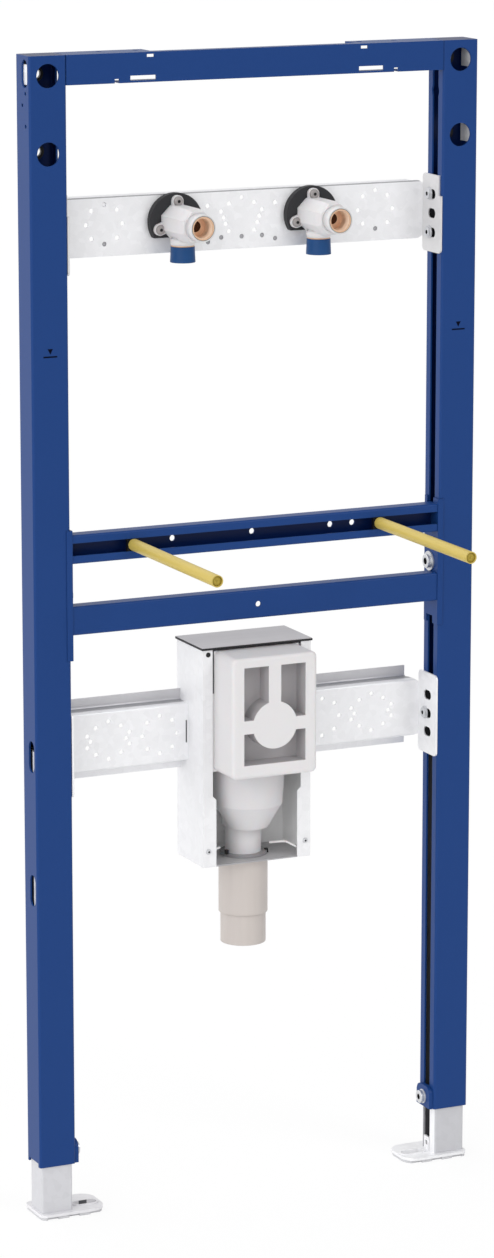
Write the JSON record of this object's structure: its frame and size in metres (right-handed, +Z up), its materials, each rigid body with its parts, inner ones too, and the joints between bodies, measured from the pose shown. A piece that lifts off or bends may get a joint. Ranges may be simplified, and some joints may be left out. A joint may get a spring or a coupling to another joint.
{
  "type": "basin installation frame",
  "caption": "Wall frame for a washbasin: slotted blue posts on telescopic feet, studs for the basin, a plate with tap connections and a concealed trap in a steel box.",
  "frame": {"origin": "on the floor under the axis of the left post, on the underside of the left foot", "axes": "+X across the frame to the right, +Y back to the wall, +Z up"},
  "size_m": [0.5, 0.275, 1.208],
  "materials": {
    "blue_paint": "powder coated, satin",
    "galvanised_steel": "zinc coated, matt",
    "yellow_plastic": "extruded, satin",
    "black_rubber": "moulded, matt",
    "black_plastic": "moulded, matt",
    "white_plastic": "moulded, satin",
    "brass": "machined",
    "blue_plastic": "moulded, satin",
    "grey_pipe_plastic": "extruded, satin",
    "grey_pad": "sound insulating foam rubber"
  },
  "bodies": {
    "left_foot": {"left_foot_column": "galvanised_steel", "left_foot_base": "galvanised_steel", "left_foot_pad": "grey_pad"},
    "right_foot": {"right_foot_column": "galvanised_steel", "right_foot_base": "galvanised_steel", "right_foot_pad": "grey_pad"},
    "frame": {"top_bar": "blue_paint", "upper_crossbar": "blue_paint", "lower_crossbar": "blue_paint", "tap_plate": "galvanised_steel", "trap_box": "galvanised_steel", "trap_box_lid": "galvanised_steel", "trap_cover": "white_plastic", "trap_body": "white_plastic", "waste_pipe": "grey_pipe_plastic", "waste_sleeve": "grey_pipe_plastic", "left_post": "blue_paint", "right_post": "blue_paint", "left_wall_bushes": "black_plastic", "right_wall_bushes": "black_plastic", "left_wall_nuts": "galvanised_steel", "right_wall_nuts": "galvanised_steel", "left_end_plate": "blue_paint", "right_end_plate": "blue_paint", "left_basin_stud": "galvanised_steel", "right_basin_stud": "galvanised_steel", "left_stud_sleeve": "yellow_plastic", "right_stud_sleeve": "yellow_plastic", "left_tap_bracket": "galvanised_steel", "right_tap_bracket": "galvanised_steel", "left_insulation_disc": "black_rubber", "right_insulation_disc": "black_rubber", "left_tap_elbow": "white_plastic", "right_tap_elbow": "white_plastic", "left_tap_socket": "brass", "right_tap_socket": "brass", "left_tap_plug": "blue_plastic", "right_tap_plug": "blue_plastic", "left_trap_rail": "galvanised_steel", "right_trap_rail": "galvanised_steel", "left_trap_bracket": "galvanised_steel", "right_trap_bracket": "galvanised_steel", "left_foot_lug": "blue_paint", "right_foot_lug": "blue_paint"}
  },
  "joints": [
    {"name": "frame_height", "type": "slide", "parent": "left_foot", "child": "frame", "axis": [0, 0, 1], "range_m": [-0.045, 0.155]},
    {"name": "right_foot_reach", "type": "slide", "parent": "frame", "child": "right_foot", "axis": [0, 0, -1], "range_m": [-0.045, 0.155]}
  ]
}
